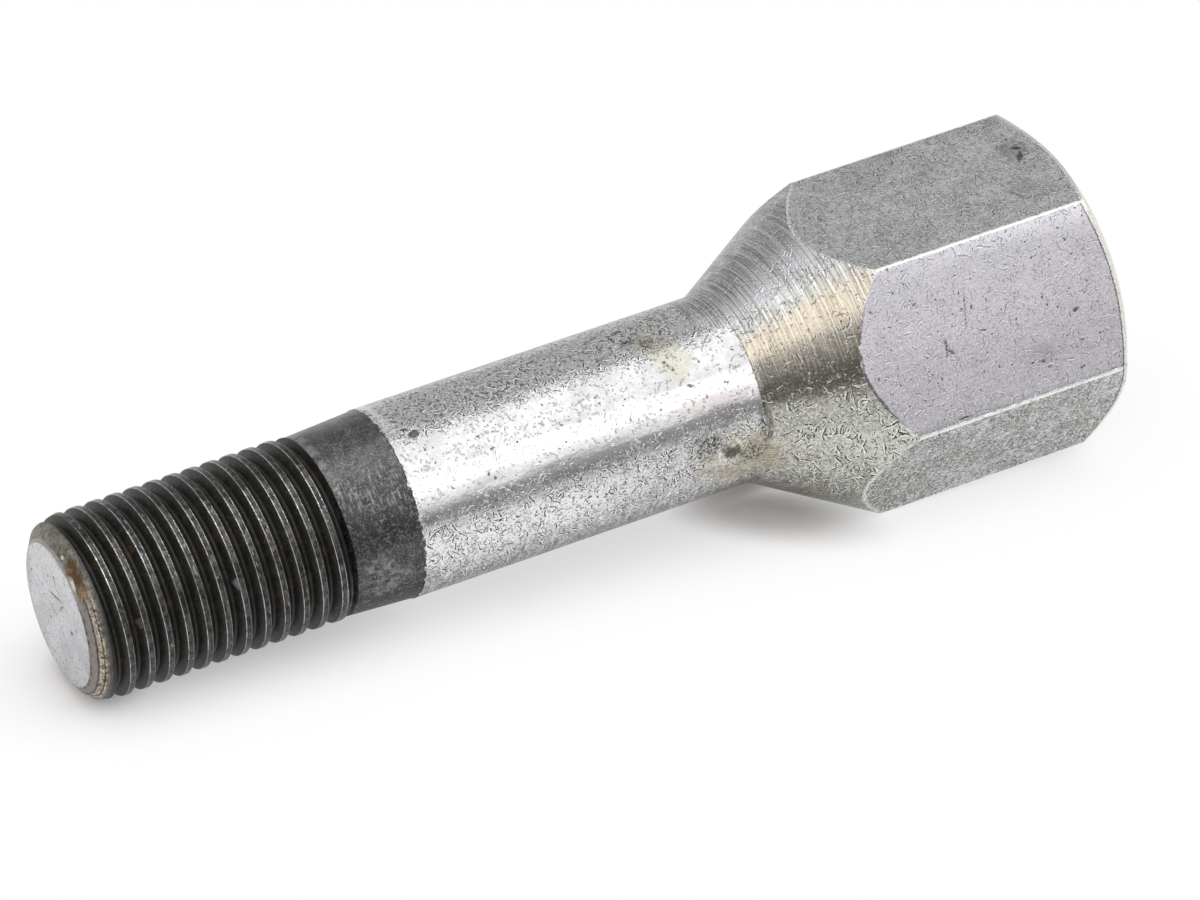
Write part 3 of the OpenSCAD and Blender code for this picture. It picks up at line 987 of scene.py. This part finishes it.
def head_finish(at, finish):
    """Hexagon: dull speckled plating with bright worn edges and a bright chamfer at the far end."""
    p = Paint("dull_hexagon", at, 11.5)
    grain = p.noise(4.5, 3, 0.7, 6.0)
    uneven = (grain - 0.5) * 0.3
    cone = mm(at.shank_r) + (p.along - mm(at.seat)) * at.slope
    near = abs(cone - p.radius) + uneven
    far = (p.radius - mm(at.end_r)) * -at.end_slope + (mm(at.length) - p.along)
    far = abs(far) + uneven
    reach = p.sweep(80, 88, 0.09, 0.115)
    corner = p.ramp(p.radius + uneven * 0.35 + reach, mm(at.corner_r), mm(at.corner_r) + 0.05)
    cloud = p.noise(0.55, 5, 0.68, 1.0)
    soft = p.noise(0.16, 2, 0.5, 2.0)
    hair = p.lines(0, 3.0, 0.13, 7.0, 1.0)
    dots = p.noise(3.2, 1, 0.5, 9.0)
    specks = p.ramp(dots, 0.7, 0.74)
    mottle = p.noise(1.5, 4, 0.68, 12.0)
    grit = p.noise(5.5, 2, 0.6, 14.0)
    upper = p.fall(p.round, 28, 32)
    lower = p.sweep(88, 92)
    middle = 1 - (upper + lower)
    soft_patch = p.ramp(cloud, 0.4, 0.6, 0.5, 1.3)
    share = upper * 0.62 + middle * 0.5 + lower
    raised, sunk = p.wear(soft_patch * share, 2.0)
    busy = upper * 0.75 + middle * 0.5 + lower * 1.1
    # the lower flat has its marks drawn out across it
    across = p.lines(90, 2.2, 0.42, 13.0, 3.0)
    softly = p.ramp(soft, 0.35, 0.65)
    flat = p.mix(softly, finish.flat_steel * 0.97, finish.flat_steel * 1.04)
    violet = p.mix(softly, (0.625, 0.602, 0.652), (0.65, 0.628, 0.68))
    blotch = p.ramp(cloud, 0.42, 0.64)
    olive = p.ramp(p.noise(0.3, 4, 0.6, 3.5), 0.44, 0.62)
    # darker on the lower flats near the seat end
    lower_near_seat = p.fall(p.along, 62, 68) * p.sweep(104, 120)
    grit_share = upper * 0.34 + middle * 0.26 + lower * 0.55
    gouge = p.spots((66.2, 64, 0.75, 0.14, 98, 1.8, 2.5), (66.5, 66, 0.34, 0.16, 40, 1.8, 2.5))
    scratch = p.most(
        p.spot(78.35, -3.5, 0.85, 0.26, 118, 1.3, 2.5),
        p.spot(78.65, -9, 0.5, 0.24, 40, 1.3, 2.5),
        p.spot(66.2, 88.7, 0.7, 0.07, 0, 0.8, 2.5),
        p.spot(76.81, 66, 0.24, 0.2, 0, 1.8, 2.5),
        gouge * p.ramp(grit, 0.38, 0.52),
        p.spot(68.35, 53, 1.7, 0.05, 102, 0.8, 2.5) * 0.6,
        p.spot(69.4, 62, 0.3, 0.09, 20, 0.9, 2.5),
        p.spot(75.9, 18, 1.0, 0.13, 70, 1.6, 2.5) * 0.45,
    )
    smudge = p.most(
        p.spot(78.4, -8, 1.2, 1.6, 0, 1.8, 1.4),
        p.spot(76.5, 14, 1.2, 1.2, 0, 1.8, 1.4) * 0.6,
        p.spot(73.5, 77, 1.0, 0.8, 0, 1.6, 2.0) * p.ramp(grit, 0.4, 0.58) * 0.9,
    )
    # worn edges: a pale lip near the seat, dark and chipped on the middle flat, and a cream chamfer
    width = p.sweep(96, 108, 0.1, 0.26) + p.sweep(-18, 6, 0.1, 0.0)
    rim = p.fall(near / width, 0.4, 1.0)
    flank = p.arc(42, 84, 6)
    chips = p.mix(p.ramp(mottle, 0.5, 0.6), finish.grime_and_shade * 0.35, (0.7, 0.68, 0.66))
    gold = p.mix(p.ramp(mottle, 0.3, 0.37), finish.brown * 0.9, (0.86, 0.83, 0.755))
    flat = p.coats(
        flat,
        (violet, middle),
        # painted light: the upper flat lighter
        (finish.flat_steel * 1.1, upper),
        (finish.grime_and_shade, upper, p.blend(blotch, 0.06, 0.3)),
        ((0.36, 0.365, 0.325), upper, olive, 0.34),
        # the lower flat darker: olive dirt, and partly painted shade
        (finish.grime_and_shade * 1.1, lower, p.blend(p.ramp(cloud, 0.45, 0.57), 0.2, 0.9)),
        (finish.grime_and_shade * 1.1, lower, olive, 0.5),
        (finish.grime_and_shade, 1 - middle, p.fall(mottle, 0.34, 0.56), 0.34),
        (finish.grime_and_shade * 0.9, lower_near_seat, 0.8),
        *p.speckle(grit, grit_share, finish.grime_and_shade * 0.8, (0.9, 0.9, 0.9)),
        *p.speckle(across, lower * 0.32, finish.grime_and_shade * 0.6, (0.86, 0.86, 0.85)),
        (finish.grime_and_shade * 0.45, p.fall(dots, 0.34, 0.43), lower, 0.75),
        ((0.92, 0.92, 0.91), p.ramp(dots, 0.57, 0.65), lower, 0.6),
        (finish.grime_and_shade, blotch, middle, 0.1),
        # painted shade towards the middle flat's lower edge, and painted light along its upper edge
        (finish.grime_and_shade, p.sweep(48, 80), middle, 0.18),
        (finish.flat_steel * 1.15, p.fall(p.round, 38, 46), middle, 0.25),
        (finish.grime_and_shade * 0.5, sunk, busy, 0.8),
        (finish.grime_and_shade, p.fall(hair, 0.34, 0.42), middle, 0.1),
        ((0.9, 0.9, 0.92), raised, busy, p.blend(middle, 0.6, 0.42)),
        (finish.grime_and_shade * 0.4, specks, 0.8),
        (finish.grime_and_shade * 0.7, smudge, p.blend(grain, 0.1, 0.7)),
        (finish.grime_and_shade * 0.35, scratch, 0.8),
        ((0.9, 0.9, 0.9), rim, p.blend(flank, 0.8, 0.0), p.ramp(grit, 0.4, 0.54, 0.25, 1.0)),
        (chips, p.fall(near, 0.07, 0.14), flank, 0.8),
        ((1.0, 1.0, 1.0), corner, p.ramp(mottle, 0.34, 0.44, 0.4, 1.0)),
        (finish.grime_and_shade * 0.3, p.between(far, 0.26, 0.36, 0.05), 1 - upper, 0.8),
        (gold, p.fall(far, 0.2, 0.28), 0.85),
    )
    height = (
        (raised - sunk) * busy
        + grain * 0.3
        + hair * 0.12
        + grit * busy * 0.5
        + across * lower * 0.6
        - specks * 0.8
        - scratch * 1.6
        + cloud * 0.6
    )
    return p.finish(flat, p.blend(grain, 0.32, 0.42), height, 0.016)


def end_finish(at, finish):
    """Hidden end face: turned steel with fine rings."""
    p = Paint("turned_end", at)
    rings = p.value("ShaderNodeTexNoise", {"W": p.radius, "Scale": 7.0}, noise_dimensions="1D")
    cloud = p.noise(0.25, 2, 0.5, 2.0)
    raised, sunk = p.wear(0.5, 2.0)
    flat = p.mix(p.ramp(cloud, 0.3, 0.7), finish.flat_steel * 0.94, finish.flat_steel * 1.02)
    flat = p.coats(
        flat,
        (finish.grime_and_shade, p.ramp(rings, 0.56, 0.4), 0.12),
        (finish.grime_and_shade, sunk, 0.4),
        ((0.84, 0.84, 0.86), raised, 0.3),
    )
    height = rings * 0.8 - sunk * 0.5 + raised * 0.4
    return p.finish(flat, p.blend(cloud, 0.3, 0.42), height, 0.02)


class WHEELBOLT_OT_bolt(bpy.types.Operator):
    """Models the bolt: a turned blank, six flats, a screwed groove and worn edges, with its finishes"""

    bl_idname = "wheelbolt.bolt"
    bl_label = "Wheel bolt"

    def execute(self, context):
        sizes = context.scene.bolt_sizes
        finish = Tones(context.scene.bolt_finish)
        at = Stations(sizes)
        bolt = turned_blank(at, sizes)
        bolt.name = bolt.data.name = "wheel_bolt_body"
        cut(bolt, hexagon_bar(at, sizes), "INTERSECT")
        for index in range(6):
            cut(bolt, wear_block(at, sizes, index), "DIFFERENCE")
        cut(bolt, groove_cutter(at, sizes), "DIFFERENCE")
        make_active(bolt)
        start_edit()
        bpy.ops.mesh.remove_doubles(threshold=MERGE_DISTANCE)
        end_edit()
        if len(bolt.data.polygons) < FEWEST_FACES:
            raise RuntimeError("the thread's groove was not cut")
        lay_down(bolt, at)
        bpy.ops.object.shade_smooth_by_angle(angle=SMOOTH_ANGLE)
        makers = {
            "tip": tip_finish,
            "thread": thread_finish,
            "shank": shank_finish,
            "head": head_finish,
            "end": end_finish,
        }
        slots = {}
        for zone, maker in makers.items():
            slots[zone] = len(bolt.data.materials)
            bolt.data.materials.append(maker(at, finish))
        for face in bolt.data.polygons:
            face.material_index = slots[zone_of(at, face)]
        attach(bolt, "root")
        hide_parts("wheel_bolt")
        return {"FINISHED"}


# Stage


def floor_oval(p, along, aside, centre, degrees, size):
    """1 in the middle of an oval on each side of the bolt, fading to 0 outwards."""
    ahead, apart = along - centre[0], aside - centre[1]
    c, s = math.cos(math.radians(degrees)), math.sin(math.radians(degrees))
    return p.fall(p.far((ahead * c + apart * s) / size[0], (apart * c - ahead * s) / size[1]), 0.35, 1.8)


def floor_finish(stage):
    """White paper that takes the bolt's shadow and is lifted a little where it is looked at or reflected."""
    material = bpy.data.materials.new("pale_floor")
    material.use_nodes = True
    p = Nodes(material.node_tree)
    place = p.value("ShaderNodeTexCoord", output="Object")
    along, side, _ = p.parts(place)
    aside = abs(side)
    # the darkest part of the shadow lies along each side of the cone, and a small one under the tip; the
    # floor's colour is painted darker and warmer there
    core_size = (stage.core_reach, 0.42 * stage.core_reach)
    core = floor_oval(p, along, aside, (stage.core_place, stage.core_side), 42, core_size)
    tip_core = floor_oval(p, along, aside, (-0.0385, 0.0010), 0, (0.0028, 0.0022))
    shadow = p.most(core, tip_core * 0.60)
    grain = p.value("ShaderNodeTexNoise", {"Vector": place, "Scale": 30.0})
    pale = p.mix(grain, stage.floor_colour, Tone(stage.floor_colour) * 1.01)
    paper = p.tree.nodes["Principled BSDF"]
    # painted shadow colour: warm and a little darker where the shadow is darkest
    tone = p.mix(shadow, pale, stage.core_colour)
    p.fill(paper, {"Base Color": tone, "Roughness": 0.9, "Specular IOR Level": 0.0})
    # the lift is least close along the bolt, and there is none in the darkest part of the shadow
    close = p.ramp(along, -0.024, -0.012, stage.floor_lift * 0.72, stage.floor_lift)
    far_lift = 0.98
    lift = close + p.ramp(aside, 0.001, 0.014) * (far_lift - close)
    rays = p.add("ShaderNodeLightPath").outputs
    looks = (rays["Is Camera Ray"], rays["Is Glossy Ray"], rays["Is Transmission Ray"])
    seen = p.most(*(Value(p, ray) for ray in looks))
    glow = p.value("ShaderNodeEmission", {"Color": (1, 1, 1)})
    lifted = seen * (lift * (1.0 - shadow))
    surface = p.value("ShaderNodeMixShader", (lifted, Value(p, paper.outputs[0]), glow))
    p.feed(p.tree.nodes["Material Output"].inputs["Surface"], surface)
    return material


def studio_sky(stage):
    """A grey room with one wide soft panel overhead, on the camera's side."""
    world = bpy.data.worlds.new("studio")
    bpy.context.scene.world = world
    world.use_nodes = True
    world.node_tree.nodes.clear()
    p = Nodes(world.node_tree)
    x, y, z = p.parts(p.value("ShaderNodeTexCoord", output="Generated"))
    height = p.most(z, 0.02)
    across, ahead = x / height, y / height
    wide = p.ramp(across, -1.45, -1.0) * p.fall(across, 1.1, 1.7)
    deep = p.ramp(ahead, -3.6, -1.6) * p.fall(ahead, 0.12, 0.52)
    # the panel is a little brighter at its near end, and the room is darkest behind the camera
    near_end = p.ramp(ahead, -1.2, -0.4, 1.12, 1.0)
    panel = wide * deep * near_end * (stage.panel_strength - stage.sky_strength)
    room = p.ramp(y, -0.95, -0.2, stage.sky_strength * 0.5, stage.sky_strength)
    light = p.value("ShaderNodeBackground", {"Color": (1, 1, 1), "Strength": panel + room})
    p.feed(p.add("ShaderNodeOutputWorld").inputs["Surface"], light)


class WHEELBOLT_OT_stage(bpy.types.Operator):
    """Lays the pale floor, lights it and places the camera"""

    bl_idname = "wheelbolt.stage"
    bl_label = "Floor, light and camera"

    def execute(self, context):
        stage = context.scene.stage_settings
        start_clean()
        bpy.ops.mesh.primitive_plane_add(size=stage.floor_size, location=(0, 0, 0))
        floor = context.object
        floor.name = floor.data.name = "floor"
        floor.data.materials.append(floor_finish(stage))
        studio_sky(stage)
        start_clean()
        bpy.ops.object.camera_add(location=CAMERA_PLACE, rotation=[math.radians(a) for a in CAMERA_TURN])
        camera = context.object
        camera.data.lens = CAMERA_LENS
        camera.data.clip_start = CAMERA_NEAR
        context.scene.camera = camera
        context.scene.view_settings.view_transform = "Standard"
        return {"FINISHED"}


class WHEELBOLT_PT_panel(bpy.types.Panel):
    """Lists the pieces of the scene"""

    bl_idname = "WHEELBOLT_PT_panel"
    bl_label = "Wheel bolt"
    bl_space_type = "VIEW_3D"
    bl_region_type = "UI"
    bl_category = "Wheel bolt"

    def draw(self, context):
        for operator in OPERATORS:
            self.layout.operator(operator.bl_idname)


OPERATORS = (WHEELBOLT_OT_bolt, WHEELBOLT_OT_stage)
CLASSES = (BoltSizes, BoltFinish, StageSettings, *OPERATORS, WHEELBOLT_PT_panel)


def register():
    for cls in CLASSES:
        bpy.utils.register_class(cls)
    bpy.types.Scene.bolt_sizes = bpy.props.PointerProperty(type=BoltSizes)
    bpy.types.Scene.bolt_finish = bpy.props.PointerProperty(type=BoltFinish)
    bpy.types.Scene.stage_settings = bpy.props.PointerProperty(type=StageSettings)


def unregister():
    del bpy.types.Scene.stage_settings
    del bpy.types.Scene.bolt_finish
    del bpy.types.Scene.bolt_sizes
    for cls in reversed(CLASSES):
        bpy.utils.unregister_class(cls)


def main():
    register()
    bpy.ops.wheelbolt.bolt()
    bpy.ops.wheelbolt.stage()


if __name__ == "__main__":
    main()
